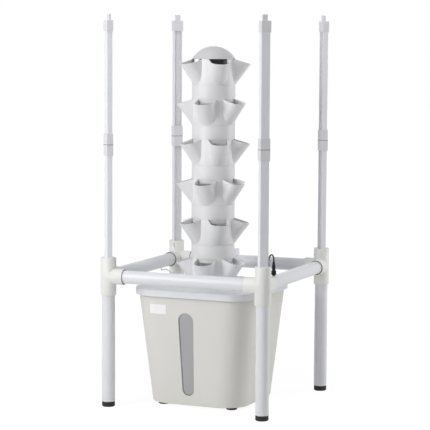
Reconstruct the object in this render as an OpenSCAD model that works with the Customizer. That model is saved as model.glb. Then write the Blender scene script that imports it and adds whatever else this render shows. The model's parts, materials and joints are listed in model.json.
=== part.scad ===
// Hydroponic tower: a planting tower on a nutrient tank, inside a pipe frame with four light poles.
// Millimetres, +Z up. The origin is on the floor at the centre of the frame, and -Y is the front.

/* [Frame] */
// Distance between the axes of neighbouring legs
frame_side = 500; // [490:5:560]
// Height of the rail axes above the floor
rail_z = 397; // [390:1:430]
// Outside diameter of the legs and rails
pipe_d = 40; // [38:0.5:42]
// Wall of the legs and rails
pipe_wall = 2.4; // [1.6:0.1:3.2]
// Wall of a corner fitting around its pipes
fitting_wall = 4; // [3.5:0.5:6]
// Reach of a fitting's upright sleeves from the rail axis
sleeve_reach = 56.5; // [50:0.5:66]
// Reach of a fitting's rail arms from the leg axis
arm_reach = 54; // [46:0.5:66]
// Height of a foot plug that shows below its leg
foot_h = 16; // [10:1:26]
// Length of a foot plug inside its leg
foot_spigot = 22; // [12:1:40]

/* [Light bars] */
// Width of a light bar across its lit face
bar_w = 28; // [26:0.5:29]
// Depth of a light bar from its back to its lit face
bar_d = 17; // [16:0.5:19]
// Length of a light bar from seat to seat
bar_len = 370; // [300:5:450]
// Wall of the light bar's channel
bar_wall = 1.5; // [1.2:0.1:1.8]
// Thickness of the clear strip over the lights
cover_t = 1.5; // [1:0.1:2]
// Width of the light board
board_w = 15; // [12:0.5:17]
// Distance between neighbouring lights on a board
led_pitch = 12; // [8:1:20]
// Floor between an end cap's plug socket and its bar
cap_floor = 3; // [2:0.5:8]
// How far an end cap stands proud of the bar on each side
cap_over = 2.2; // [1.5:0.1:3]
// How far the bar goes into an end cap
cap_grip = 12; // [8:0.5:13]
// Width of the plug on an end cap
plug_w = 17; // [12:0.5:20]
// Depth of the plug on an end cap
plug_d = 8; // [6:0.5:9]
// Height of the plug on an end cap
plug_h = 18; // [10:0.5:19]

/* [Planting tower] */
// Place of the tank and tower from the centre of the frame, to the right
stand_x = -3; // [-10:1:10]
// Gap between the lid and the front rail, seen from above
front_gap = 4.5; // [3:0.5:40]
// Outside radius of the tower's tube
tube_r = 66; // [60:0.5:70]
// Wall of a tier
tier_wall = 2.5; // [2:0.1:3.5]
// Height of a tier's pocket ring above its seam
ring_h = 77; // [70:1:90]
// Height of the plain band below a tier's seam
band_h = 44; // [30:1:60]
// Length of the spigot that drops into the tier below
spigot_h = 12; // [6:1:20]
// How far a pocket's tip stands out from the tube
pocket_out = 47; // [39:1:54]
// Half of a pocket's width at its mouth
pocket_half = 30; // [24:0.2:31]
// Half of a pocket's width at the seam
pocket_foot = 28; // [20:0.5:30]
// How far a pocket's rim falls from the tube to the tip
pocket_fall = 15; // [5:1:20]
// Height of the dome cap above its seat
dome_h = 38; // [28:1:50]

/* [Tank] */
// Side of the tank at its rim
tank_top = 378; // [350:1:390]
// Side of the tank at its floor
tank_foot = 311; // [280:1:340]
// Height of the tank from its floor to its rim
tank_h = 348; // [320:1:360]
// Corner radius of the tank
tank_corner = 76; // [50:1:84]
// Wall of the tank
tank_wall = 3; // [2:0.5:5]
// Height of the tank's feet
tank_foot_h = 9; // [6:1:14]
// Diameter of the tank's feet
tank_foot_d = 34; // [24:1:44]
// How far the lid reaches past the tank's rim on each side
lid_over = 7.5; // [6:0.5:16]
// Height of the lid's skirt
skirt_h = 20; // [12:1:30]
// Thickness of the lid and its skirt
lid_t = 3; // [2:0.5:4]
// Height of the level window
window_h = 254; // [200:1:260]
// Width of the level window at its top
window_top_w = 48.6; // [40:0.2:60]
// Width of the level window at its foot
window_foot_w = 37; // [28:0.5:44]

/* [Pump] */
// Width of the pump
pump_w = 56; // [48:1:70]
// Length of the pump from front to back
pump_len = 64; // [58:1:80]
// Height of the pump
pump_h = 48; // [42:1:60]
// Radius of the impeller
impeller_r = 15; // [12:0.5:17]
// Radius of the pump's shaft
shaft_r = 1.6; // [1.2:0.1:2.5]
// Outside radius of the riser pipe
riser_r = 10; // [9:0.5:12]

/* [Leads] */
// Diameter of the black light lead
light_lead_d = 4.4; // [3:0.2:5]
// Diameter of the grey link lead
link_lead_d = 3; // [2.4:0.2:4]

/* [Hidden] */
$fn = 64;

// Colours
pipe_white = [0.91, 0.92, 0.95];
fitting_cream = [0.93, 0.92, 0.89];
rubber_black = [0.07, 0.07, 0.08];
ring_grey = [0.35, 0.35, 0.37];
bar_white = [0.88, 0.88, 0.92];
clear_grey = [0.75, 0.76, 0.80, 0.5];
board_white = [0.93, 0.90, 0.70];
tower_grey = [0.87, 0.87, 0.88];
tank_beige = [0.85, 0.85, 0.82];
lid_white = [0.93, 0.93, 0.95];
window_smoke = [0.62, 0.62, 0.63, 0.7];
pump_dark = [0.12, 0.13, 0.14];
steel = [0.75, 0.76, 0.78];
lead_grey = [0.78, 0.78, 0.80];

// Clearances
slip = 0.15;       // pieces that plug together by hand
lift_gap = 0.6;    // pieces that lift out of each other
run_gap = 0.05;    // shaft in its bore
end_gap = 0.5;     // end of a pipe or plug to its stop
facet_gap = 0.2;   // more room between faceted rounds
seat_gap = 0.3;    // pieces that rest beside each other
cut = 1;           // how far a cutting shape runs past what it cuts
skin = 0.01;       // thickness of the slabs that span a drafted form

// Frame
half_side = frame_side / 2;
pipe_r = pipe_d / 2;
socket_r = pipe_r + slip;
fitting_r = pipe_r + fitting_wall;
stop_t = 6;
stop_reach = pipe_r + stop_t;
wire_way_r = 12;
leg_top = rail_z - stop_reach - end_gap;
rail_len = frame_side - 2 * (stop_reach + end_gap);
sleeve_top = rail_z + sleeve_reach;
pole_z = rail_z + stop_reach;
ring_t = 1.5;
ring_lip = 1.6;
ring_r = fitting_r - ring_lip;
bush_drop = 1;
bush_top = sleeve_top - bush_drop;
foot_inset = 0.4;
foot_edge = 2;
screw_drop = 22;
screw_r = 1.8;
screw_head_r = 3.2;
screw_head_h = 1.6;

// Light bars, in a pole's own frame: +Y is the lit face, and the bar stands along +Z
seam_z = pole_z + bar_len;
pole_top = seam_z + bar_len;
cover_edge = 3;
cover_w = board_w + 2 * cover_edge;
cover_set = 0.3;
recess_d = 3;
board_t = 1.4;
led_w = 3;
led_h = 2.6;
led_t = 0.8;
led_sink = 0.2;
bar_corner = 1.5;
plug_shift = 2;
plug_corner = 2;
seat_y = bar_d / 2 - cover_t;
recess_y = seat_y - recess_d;
cap_block = plug_h + cap_floor;
cap_h = cap_block + cap_grip;
upper_low = seam_z + cap_block + slip;
upper_high = pole_top - cap_block - slip;

// Tower and tank heights
tank_z = tank_foot_h;
rim_z = tank_z + tank_h;
lid_top = rim_z + lid_t;
lid_side = tank_top + 2 * lid_over;
stand_y = front_gap + lid_side / 2 + pipe_r - half_side;
collar_h = 5;
seam_rise = 1;
socket_drop = band_h - collar_h - seam_rise;
lip_z = lid_top - socket_drop;
tier_pitch = ring_h + band_h;
tier_count = 6;
dome_z = lip_z + tier_count * tier_pitch;

// Tiers
pockets = 5;
pocket_turn = 360 / pockets;
half_turn = pocket_turn / 2;
even_turn = 3.5;       // the even tiers stand a little past the front
seam_step = 0.7;
ring_r_out = tube_r + seam_step;
bore_r = tube_r - tier_wall;
spigot_r = bore_r - lift_gap - facet_gap;
spigot_bore = spigot_r - tier_wall;
pocket_reach = tube_r + pocket_out;
tip_wall = 1.25 * tier_wall;
tip_z = ring_h - pocket_fall;
rim_passes = 6;        // rounds in which the rim's height settles
side_cols = 7;         // columns from a pocket's middle to the middle of the gap beside it
root_col = 5;          // the column that runs down the pocket's root
least_root = 12;       // least angle of the root column, so that the tube stays round below
outer_rows = 7;
inner_rows = 5;
row_gather = 1.5;      // more than 1 draws the rows together near the seam

// Lid
lip_t = 3;
sleeve_wall = 3;
socket_bore = tube_r + lift_gap;
lip_bore = spigot_r + lift_gap;
lid_corner = tank_corner + 4;
tank_foot_set = 44;
tank_foot_edge = 1.5;

// Tank window
window_x = -10;
window_rise = 30;
window_z = tank_z + window_rise;
window_recess = 1;

// Pump, in a frame with its origin under the riser on the tank's floor and its shaft along Y
pump_foot_h = 6;
pump_z = tank_z + tank_wall + pump_foot_h;
shaft_z = pump_h / 2;
volute_r = impeller_r + 2;
volute_d = 16;
pump_front = -10;
volute_back = pump_front + volute_d;
rotor_r = 8.3;
rotor_gap = 0.7;
pump_back = pump_front + pump_len;
rotor_inset = 16;
rotor_back = pump_back - rotor_inset;
shaft_seat = 6;
shaft_back = rotor_back + shaft_seat;
pump_cover_t = 5;
shaft_nose = 3;
shaft_front = pump_front - shaft_nose;
pump_corner = 4;
pump_gland_r = 5;
pump_gland_h = 8;
riser_wall = 1.5;
riser_z = pump_z + pump_h;
spout_h = 15;
spout_wall = 2;
spout_r = riser_r - riser_wall - slip;
diffuser_room = 16;    // between the cup and the narrowest bore that lifts past it
diffuser_r = spigot_bore - diffuser_room;
diffuser_h = 19;
diffuser_grip = 10;
diffuser_wall = 2;
diffuser_t = 3;
diffuser_hole_r = 2;
diffuser_hole_set = 8;
riser_drop = 10;
riser_top = dome_z - riser_drop;

// Timer box on the back rail
timer_w = 70;
timer_d = 34;
timer_h = 19;
timer_right = -35;
timer_saddle = 8;
timer_corner = 4;

// Route of the light lead, from its gland's foot on the bush of the front right fitting
light_route = [
    [0, 0, 6.5], [0, 0, 11.5], [-0.3, 1.4, 17], [-0.8, 4.5, 21.5],
    [-1.5, 9.5, 25.5], [-2.3, 16, 28.3], [-3.3, 23, 29.9], [-4.3, 30, 30.5],
    [-5.3, 37, 30.5], [-6.4, 44, 29.7], [-7.4, 50.5, 27.9], [-8.4, 57, 24.9],
    [-9.3, 62.5, 21.1], [-9.9, 66.5, 16.5], [-10, 68, 12], [-10, 68, 7.5]
];
gland_room = pipe_r - bar_w / 2 - slip;
gland_out = pipe_r - gland_room / 2;
gland_r = gland_room / 2 - seat_gap;
gland_taper = 0.4;
connector_r = 5.2;
connector_collar_r = 8;
connector_collar_h = 12;
connector_nose_r = 4.4;
connector_nose_h = 3;

// Route of the link lead, from under the left rail's axis at the back left fitting
link_route = [
    [0, -120, -1.5], [0, -120, -2.8], [0, -119.2, -5.5], [0, -117, -7.5],
    [0, -114, -8.2], [0, -107, -8.2], [0, -100, -8.3], [0, -93, -8.7],
    [0, -86, -9.5], [0, -79, -10.8], [0, -72, -12.7], [0, -65, -15.3],
    [0, -58, -18.6], [0, -51, -22.4], [0, -44, -26.1], [0, -38, -28.9],
    [0, -33, -30], [0, -28, -30]
];
grommet_r = 3;

// Shared shapes

module rounded_square(w, d, r) {
    square([w - 2 * r, d], center = true);
    square([w, d - 2 * r], center = true);
    for (x = [-1, 1], y = [-1, 1])
        translate([x * (w / 2 - r), y * (d / 2 - r)])
            circle(r);
}

module rounded_block(w, d, h, r) {
    linear_extrude(h)
        rounded_square(w, d, r);
}

module tube(h, r_out, r_in) {
    difference() {
        cylinder(h = h, r = r_out);
        translate([0, 0, -cut])
            cylinder(h = h + 2 * cut, r = r_in);
    }
}

// Corner 0 is the front left one, and the others follow counter-clockwise
module at_corner(i) {
    rotate([0, 0, 90 * i])
        translate([-half_side, -half_side, 0])
            children();
}

module at_pole(i) {
    at_corner(i)
        rotate([0, 0, -45])
            children();
}

module at_stand() {
    translate([stand_x, stand_y, 0])
        children();
}

// Frame

module leg(i) {
    color(pipe_white)
        at_corner(i)
            translate([0, 0, foot_h])
                tube(leg_top - foot_h, pipe_r, pipe_r - pipe_wall);
}

module foot_plugs() {
    foot_r = pipe_r - foot_inset;
    color(rubber_black)
        for (i = [0 : 3])
            at_corner(i) {
                cylinder(h = foot_edge, r1 = foot_r - foot_edge, r2 = foot_r);
                translate([0, 0, foot_edge])
                    cylinder(h = foot_h - foot_edge, r = foot_r);
                translate([0, 0, foot_h])
                    cylinder(h = foot_spigot, r = pipe_r - pipe_wall - slip);
            }
}

module fitting_way(reach, far) {
    translate([0, 0, stop_reach])
        cylinder(h = reach, r = socket_r);
    cylinder(h = far, r = wire_way_r);
}

module corner_fitting(i) {
    color(fitting_cream)
        at_corner(i)
            translate([0, 0, rail_z])
                difference() {
                    union() {
                        translate([0, 0, -sleeve_reach])
                            cylinder(h = 2 * sleeve_reach, r = fitting_r);
                        rotate([0, 90, 0])
                            cylinder(h = arm_reach, r = fitting_r);
                        rotate([-90, 0, 0])
                            cylinder(h = arm_reach, r = fitting_r);
                    }
                    fitting_way(sleeve_reach, sleeve_reach);
                    rotate([180, 0, 0])
                        fitting_way(sleeve_reach, sleeve_reach);
                    for (turn = [[0, 90, 0], [-90, 0, 0]])
                        rotate(turn) {
                            fitting_way(arm_reach, arm_reach);
                            translate([0, 0, arm_reach - ring_t])
                                cylinder(h = ring_t + cut, r = ring_r + slip);
                        }
                    screw_place()
                        cylinder(h = fitting_wall + cut, r = screw_r + slip);
                }
}

// The set screw of a top sleeve looks along the rail to the next corner
module screw_place() {
    translate([0, 0, sleeve_reach - screw_drop])
        rotate([0, 90, 0])
            translate([0, 0, pipe_r])
                children();
}

module rail(i) {
    color(pipe_white)
        at_corner(i)
            translate([stop_reach + end_gap, 0, rail_z])
                rotate([0, 90, 0])
                    tube(rail_len, pipe_r, pipe_r - pipe_wall);
}

module rail_rings() {
    color(ring_grey)
        for (i = [0 : 3])
            at_corner(i)
                translate([0, 0, rail_z])
                    for (turn = [[0, 90, 0], [-90, 0, 0]])
                        rotate(turn)
                            translate([0, 0, arm_reach - ring_t])
                                tube(ring_t, ring_r, socket_r);
}

module fitting_screws() {
    color(steel)
        for (i = [0 : 3])
            at_corner(i)
                translate([0, 0, rail_z])
                    screw_place() {
                        translate([0, 0, seat_gap])
                            cylinder(h = fitting_wall, r = screw_r);
                        translate([0, 0, fitting_wall + slip])
                            cylinder(h = screw_head_h, r = screw_head_r);
                    }
}

module pole_bushes() {
    color(fitting_cream)
        for (i = [0 : 3])
            at_pole(i)
                translate([0, 0, pole_z])
                    linear_extrude(bush_top - pole_z)
                        difference() {
                            circle(pipe_r);
                            square([bar_w + 2 * slip, bar_d + 2 * slip], center = true);
                        }
}

// Light bars

module channel_profile() {
    back = -bar_d / 2 + bar_wall;
    difference() {
        rounded_square(bar_w, bar_d, bar_corner);
        translate([-cover_w / 2 - slip, seat_y])
            square([cover_w + 2 * slip, bar_d]);
        translate([-board_w / 2 - slip, recess_y])
            square([board_w + 2 * slip, bar_d]);
        translate([-bar_w / 2 + bar_wall, back])
            square([bar_w - 2 * bar_wall, recess_y - bar_wall - back]);
    }
}

module channel(z_low, z_high) {
    color(bar_white)
        translate([0, 0, z_low])
            linear_extrude(z_high - z_low)
                channel_profile();
}

module cover_strip(z_low, z_high) {
    color(clear_grey)
        translate([-cover_w / 2, seat_y, z_low])
            cube([cover_w, cover_t - cover_set, z_high - z_low]);
}

module led_board(z_low, z_high, lit_low) {
    count = floor((z_high - lit_low - led_pitch) / led_pitch);
    color(board_white) {
        translate([-board_w / 2, recess_y, z_low])
            cube([board_w, board_t, z_high - z_low]);
        for (k = [0 : count - 1])
            translate([-led_w / 2, recess_y + board_t - led_sink, lit_low + led_pitch * (k + 0.5)])
                cube([led_w, led_t + led_sink, led_h]);
    }
}

// An end cap, with its seat at z 0 and the bar below it
module end_cap() {
    cap_w = bar_w + 2 * cap_over;
    cap_d = bar_d + 2 * cap_over;
    translate([0, 0, -cap_h])
        difference() {
            rounded_block(cap_w, cap_d, cap_h, cap_over);
            translate([0, 0, -cut])
                rounded_block(bar_w + 2 * slip, bar_d + 2 * slip, cap_grip + cut, bar_corner + slip);
        }
}

// The plug, from a little below its cap's seat
module plug_shape(h, gap) {
    translate([0, plug_shift, -cut])
        rounded_block(plug_w + 2 * gap, plug_d + 2 * gap, h + cut, plug_corner);
}

module plug_cap() {
    color(bar_white) {
        end_cap();
        plug_shape(plug_h, 0);
    }
}

module socket_cap() {
    color(bar_white)
        difference() {
            mirror([0, 0, 1])
                end_cap();
            plug_shape(plug_h + end_gap, seat_gap);
        }
}

module lower_channels() {
    for (i = [0 : 3])
        at_pole(i)
            channel(pole_z, seam_z - cap_block - slip);
}

module lower_covers() {
    for (i = [0 : 3])
        at_pole(i)
            cover_strip(pole_z, seam_z - cap_block - slip);
}

module lower_led_boards() {
    for (i = [0 : 3])
        at_pole(i)
            led_board(pole_z, seam_z - cap_block - slip, sleeve_top);
}

module lower_caps() {
    for (i = [0 : 3])
        at_pole(i)
            translate([0, 0, seam_z])
                plug_cap();
}

module upper_channel(i) {
    at_pole(i)
        channel(upper_low, upper_high);
}

module upper_cover(i) {
    at_pole(i)
        cover_strip(upper_low, upper_high);
}

module upper_led_board(i) {
    at_pole(i)
        led_board(upper_low, upper_high, seam_z + cap_h);
}

module upper_caps(i) {
    at_pole(i) {
        translate([0, 0, seam_z])
            socket_cap();
        translate([0, 0, pole_top])
            plug_cap();
    }
}

// A small control box that sits astride the back rail
module timer_box() {
    color(bar_white)
        translate([timer_right - timer_w / 2, half_side, rail_z])
            difference() {
                translate([0, 0, pipe_r - timer_saddle])
                    rounded_block(timer_w, timer_d, timer_h + timer_saddle, timer_corner);
                translate([-timer_w, 0, 0])
                    rotate([0, 90, 0])
                        cylinder(h = 2 * timer_w, r = socket_r);
            }
}

// Tank

function tank_side(z) = tank_foot + (tank_top - tank_foot) * (z - tank_z) / tank_h;

module tank_slab(inset, z) {
    side = tank_side(z) - 2 * inset;
    translate([0, 0, z])
        linear_extrude(skin)
            rounded_square(side, side, tank_corner - inset, $fn = 48);
}

module tank_form(inset, z_low, z_high) {
    hull() {
        tank_slab(inset, z_low);
        tank_slab(inset, z_high - skin);
    }
}

module tank_hollow() {
    tank_form(tank_wall, tank_z + tank_wall, rim_z + cut);
}

// The window's outline, as a bar that runs to the front from the tank's middle
module window_form(gap) {
    top_r = window_top_w / 2;
    foot_r = window_foot_w / 2;
    hull() {
        translate([window_x, 0, window_z + window_h - top_r])
            rotate([90, 0, 0])
                cylinder(h = tank_top, r = top_r - gap, $fn = 32);
        translate([window_x, 0, window_z + foot_r])
            rotate([90, 0, 0])
                cylinder(h = tank_top, r = foot_r - gap, $fn = 32);
    }
}

module tank() {
    color(tank_beige)
        at_stand()
            difference() {
                tank_form(0, tank_z, rim_z);
                tank_hollow();
                window_form(0);
            }
}

module tank_window() {
    color(window_smoke)
        at_stand()
            intersection() {
                difference() {
                    tank_form(window_recess, tank_z, rim_z);
                    tank_hollow();
                }
                window_form(slip);
            }
}

module tank_feet() {
    place = tank_foot / 2 - tank_foot_set;
    foot_r = tank_foot_d / 2;
    color(rubber_black)
        at_stand()
            for (x = [-1, 1], y = [-1, 1])
                translate([x * place, y * place, 0]) {
                    cylinder(h = tank_foot_edge, r1 = foot_r - tank_foot_edge, r2 = foot_r);
                    translate([0, 0, tank_foot_edge])
                        cylinder(h = tank_foot_h - tank_foot_edge, r = foot_r);
                }
}

module tank_lid() {
    inside = lid_side - 2 * lid_t;
    sleeve_r = socket_bore + sleeve_wall;
    color(lid_white)
        at_stand()
            difference() {
                union() {
                    difference() {
                        translate([0, 0, lid_top - skirt_h])
                            rounded_block(lid_side, lid_side, skirt_h, lid_corner);
                        translate([0, 0, lid_top - skirt_h - cut])
                            rounded_block(inside, inside, skirt_h - lid_t + cut, lid_corner - lid_t);
                    }
                    translate([0, 0, lip_z - lip_t])
                        cylinder(h = socket_drop + lip_t, r = sleeve_r);
                    translate([0, 0, lid_top])
                        cylinder(h = collar_h, r1 = sleeve_r + collar_h, r2 = sleeve_r);
                }
                translate([0, 0, lip_z])
                    cylinder(h = socket_drop + collar_h + cut, r = socket_bore);
                translate([0, 0, lip_z - lip_t - cut])
                    cylinder(h = lip_t + 2 * cut, r = lip_bore);
            }
}

// Planting tiers. A tier's frame has its seam at z 0, and angles start at -Y and turn towards +X

// Half of a pocket's width at height z, which grows evenly from the seam to the mouth
function pocket_w(z) = pocket_foot + (pocket_half - pocket_foot) * z / ring_h;

function pocket_tip(z) = ring_r_out + (pocket_reach - ring_r_out) * z / tip_z;

// Distance from the axis to a pocket's U-shaped section, along a ray at angle a from its middle
function pocket_r(a, w, c) =
    w / tan(a) <= c ? w / sin(a) : c * cos(a) + sqrt(max(0, w * w - pow(c * sin(a), 2)));

function outer_r(a, z) = max(ring_r_out, pocket_r(a, pocket_w(z), pocket_tip(z) - pocket_w(z)));

function inner_r(a, z) =
    let (w = pocket_w(z) - tier_wall, tip = pocket_tip(z) - tip_wall)
    max(bore_r, pocket_r(a, w, tip - w));

// Height of the rim, which falls in step with its distance from the tube
function rim_height(a, z, passes) =
    let (share = (outer_r(a, z) - ring_r_out) / (pocket_reach - ring_r_out))
    passes == 0 ? z : rim_height(a, ring_h - pocket_fall * share, passes - 1);

// Angle at which a pocket of half width w leaves the tube: where its nose, a circle about the distance c,
// crosses the tube, and higher up where its straight side does
function leave_angle(w, c) =
    let (side = asin(w / ring_r_out))
    ring_r_out * cos(side) <= c ? side
    : acos(min(1, (c * c + ring_r_out * ring_r_out - w * w) / (2 * c * ring_r_out)));

function root_angle(z) = max(least_root, leave_angle(pocket_w(z), pocket_tip(z) - pocket_w(z)));

function column_angle(s, root) =
    abs(s) <= root_col ? sign(s) * root * sin(90 * abs(s) / root_col)
    : sign(s) * (root + (half_turn - root) * (abs(s) - root_col) / (side_cols - root_col));

function spun(a, r, z) = [r * sin(a), -r * cos(a), z];

function tier_columns() = [
    for (k = [0 : pockets - 1], s = [-side_cols : side_cols - 1])
        [k * pocket_turn, s]
];

function plain_row(r, z) = [
    for (c = tier_columns())
        spun(c[0] + column_angle(c[1], least_root), r, z)
];

function row_share(k, rows) = pow(k / rows, row_gather);

function pocket_row(share, outside) = [
    for (c = tier_columns())
        let (a = column_angle(c[1], root_angle(share * ring_h)))
        let (z = share * rim_height(abs(a), ring_h, rim_passes))
        spun(c[0] + a, outside ? outer_r(abs(a), z) : inner_r(abs(a), z), z)
];

// The wall as closed rows of points: up the outside, over the rim and down the inside
tier_rows = concat(
    [plain_row(spigot_r, -band_h - spigot_h), plain_row(spigot_r, -band_h),
     plain_row(tube_r, -band_h), plain_row(tube_r, 0)],
    [for (k = [0 : outer_rows]) pocket_row(row_share(k, outer_rows), true)],
    [for (k = [inner_rows : -1 : 0]) pocket_row(row_share(k, inner_rows), false)],
    [plain_row(bore_r, tier_wall - band_h), plain_row(spigot_bore, tier_wall - band_h),
     plain_row(spigot_bore, -band_h - spigot_h)]
);

module closed_rows(rows) {
    n = len(rows);
    m = len(rows[0]);
    polyhedron(
        points = [for (row = rows) each row],
        faces = [
            for (i = [0 : n - 1], j = [0 : m - 1])
                let (up = (i + 1) % n, next = (j + 1) % m)
                each [[i * m + j, up * m + j, up * m + next], [i * m + j, up * m + next, i * m + next]]
        ]
    );
}

// Tier 1 is the top one, and neighbouring tiers are turned by about half a pocket
module tier(number) {
    color(tower_grey)
        at_stand()
            translate([0, 0, lip_z + band_h + (tier_count - number) * tier_pitch])
                rotate([0, 0, number % 2 == 1 ? half_turn : even_turn])
                    closed_rows(tier_rows);
}

// The dome drops into the top tier on five lugs, which leave its pockets open
module dome_cap() {
    ball_r = (tube_r * tube_r + dome_h * dome_h) / (2 * dome_h);
    color(tower_grey)
        at_stand()
            translate([0, 0, dome_z]) {
                rotate_extrude()
                    intersection() {
                        translate([0, dome_h - ball_r])
                            difference() {
                                circle(ball_r);
                                circle(ball_r - tier_wall);
                            }
                        square([tube_r, dome_h]);
                    }
                difference() {
                    translate([0, 0, -spigot_h])
                        tube(spigot_h + tier_wall, spigot_r, spigot_bore);
                    for (k = [0 : pockets - 1])
                        rotate([0, 0, half_turn + k * pocket_turn])
                            translate([-pocket_half, -tube_r, -spigot_h - cut])
                                cube([2 * pocket_half, tube_r, spigot_h + cut]);
                }
            }
}

// Water works

module riser_pipe() {
    color(pipe_white)
        at_stand()
            translate([0, 0, riser_z])
                tube(riser_top - riser_z, riser_r, riser_r - riser_wall);
}

// A cup with a hub that sits on the riser's end and a ring of holes in its floor
module water_diffuser() {
    grip_r = riser_r + slip;
    hub_h = diffuser_grip + diffuser_t;
    holes = 12;
    color(pump_dark)
        at_stand()
            translate([0, 0, riser_top - diffuser_grip])
                difference() {
                    union() {
                        tube(diffuser_h, diffuser_r, diffuser_r - diffuser_wall);
                        cylinder(h = diffuser_t, r = diffuser_r);
                        cylinder(h = hub_h, r = grip_r + diffuser_wall);
                    }
                    translate([0, 0, -cut])
                        cylinder(h = diffuser_grip + cut, r = grip_r);
                    cylinder(h = hub_h + cut, r = riser_r - riser_wall);
                    for (k = [0 : holes - 1])
                        rotate([0, 0, k * 360 / holes])
                            translate([diffuser_r - diffuser_hole_set, 0, -cut])
                                cylinder(h = diffuser_t + 2 * cut, r = diffuser_hole_r, $fn = 24);
                }
}

module at_pump() {
    at_stand()
        translate([0, 0, pump_z])
            children();
}

// A round bar along the pump's shaft, from one distance behind the riser to another
module along_shaft(y_front, y_back, r) {
    translate([0, y_back, shaft_z])
        rotate([90, 0, 0])
            cylinder(h = y_back - y_front, r = r);
}

module pump_housing() {
    middle = (pump_front + pump_back) / 2;
    color(pump_dark)
        at_pump()
            difference() {
                union() {
                    translate([0, middle, 0])
                        rounded_block(pump_w, pump_len, pump_h, pump_corner);
                    translate([0, 0, pump_h])
                        cylinder(h = spout_h, r = spout_r);
                    along_shaft(pump_back - cut, pump_back + pump_gland_h, pump_gland_r);
                }
                along_shaft(pump_front - cut, volute_back, volute_r);
                along_shaft(volute_back - cut, rotor_back + end_gap, rotor_r + rotor_gap);
                along_shaft(rotor_back, shaft_back, shaft_r + slip);
                translate([0, 0, shaft_z])
                    cylinder(h = pump_h + spout_h, r = spout_r - spout_wall);
            }
}

module pump_cover() {
    slot_w = 3;
    slot_h = 22;
    slot_pitch = 7;
    color(pump_dark)
        at_pump()
            difference() {
                translate([-pump_w / 2, pump_front - pump_cover_t, 0])
                    cube([pump_w, pump_cover_t, pump_h]);
                for (k = [-2, -1, 1, 2])
                    translate([k * slot_pitch, pump_front - pump_cover_t / 2, shaft_z])
                        cube([slot_w, pump_cover_t + 2 * cut, slot_h], center = true);
                along_shaft(shaft_front - slip, pump_front + cut, shaft_r + slip);
            }
}

module pump_shaft() {
    color(steel)
        at_pump()
            along_shaft(shaft_front, shaft_back - slip, shaft_r);
}

module pump_impeller() {
    hub_r = 6;
    hub_front = pump_front + 2;
    hub_back = volute_back - 1;
    disc_t = 2;
    blade_t = 2;
    blades = 6;
    color(clear_grey)
        at_pump()
            difference() {
                union() {
                    along_shaft(hub_front, hub_back, hub_r);
                    along_shaft(hub_back - disc_t, hub_back, impeller_r);
                    along_shaft(hub_back - disc_t, rotor_back - end_gap, rotor_r);
                    for (k = [0 : blades - 1])
                        translate([0, 0, shaft_z])
                            rotate([0, k * 360 / blades, 0])
                                translate([hub_r - cut, hub_front, -blade_t / 2])
                                    cube([impeller_r - hub_r, hub_back - hub_front - disc_t / 2, blade_t]);
                }
                along_shaft(pump_front, rotor_back, shaft_r + run_gap);
            }
}

module pump_feet() {
    foot_top = 5;
    foot_low = 8;
    foot_set = 10;
    color(rubber_black)
        at_pump()
            for (x = [-1, 1], y = [pump_front + foot_set, pump_back - foot_set])
                translate([x * (pump_w / 2 - foot_set), y, -pump_foot_h])
                    cylinder(h = pump_foot_h, r1 = foot_low, r2 = foot_top);
}

// Leads

module at_light_lead() {
    translate([half_side + gland_out * cos(45), gland_out * sin(45) - half_side, bush_top])
        children();
}

module at_link_lead() {
    translate([-half_side, half_side, rail_z - pipe_r])
        children();
}

function unit(v) = v / norm(v);

function way_at(route, i) = unit(route[min(i + 1, len(route) - 1)] - route[max(i - 1, 0)]);

// A ring of points round a route's point i, square to the way there
function lead_ring(route, i, r, sides) =
    let (way = way_at(route, i))
    let (across = unit(cross([1, 0, 0], way)))
    let (over = cross(way, across))
    [
        for (k = [0 : sides - 1])
            let (a = k * 360 / sides)
            route[i] + r * (cos(a) * across + sin(a) * over)
    ];

module lead(route, d, sides) {
    n = len(route);
    polyhedron(
        points = [for (i = [0 : n - 1]) each lead_ring(route, i, d / 2, sides)],
        faces = concat(
            [[for (k = [0 : sides - 1]) k]],
            [for (i = [0 : n - 2], k = [0 : sides - 1])
                let (next = (k + 1) % sides)
                each [[i * sides + k, (i + 1) * sides + k, (i + 1) * sides + next],
                      [i * sides + k, (i + 1) * sides + next, i * sides + next]]],
            [[for (k = [sides - 1 : -1 : 0]) (n - 1) * sides + k]]
        )
    );
}

module light_lead() {
    color(rubber_black)
        at_light_lead()
            lead(light_route, light_lead_d, 10);
}

module lead_gland() {
    color(rubber_black)
        at_light_lead()
            cylinder(h = light_route[0][2], r1 = gland_r, r2 = gland_r - gland_taper);
}

// The connector at the lead's end, just above the right rail
module light_lead_plug() {
    top = light_route[len(light_route) - 1];
    low = rail_z + pipe_r + seat_gap - bush_top;
    color(rubber_black)
        at_light_lead()
            translate([top[0], top[1], low]) {
                cylinder(h = connector_nose_h, r = connector_nose_r);
                translate([0, 0, connector_nose_h])
                    cylinder(h = connector_collar_h, r = connector_collar_r);
                cylinder(h = top[2] - low, r = connector_r);
            }
}

module link_lead() {
    color(lead_grey)
        at_link_lead()
            lead(link_route, link_lead_d, 8);
}

module link_lead_grommets() {
    first = link_route[0];
    last = link_route[len(link_route) - 1];
    color(lead_grey)
        at_link_lead() {
            translate(first)
                cylinder(h = -slip - first[2], r = grommet_r);
            translate(last)
                rotate([-90, 0, 0])
                    cylinder(h = -fitting_r - slip - last[1], r = grommet_r);
        }
}

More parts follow.
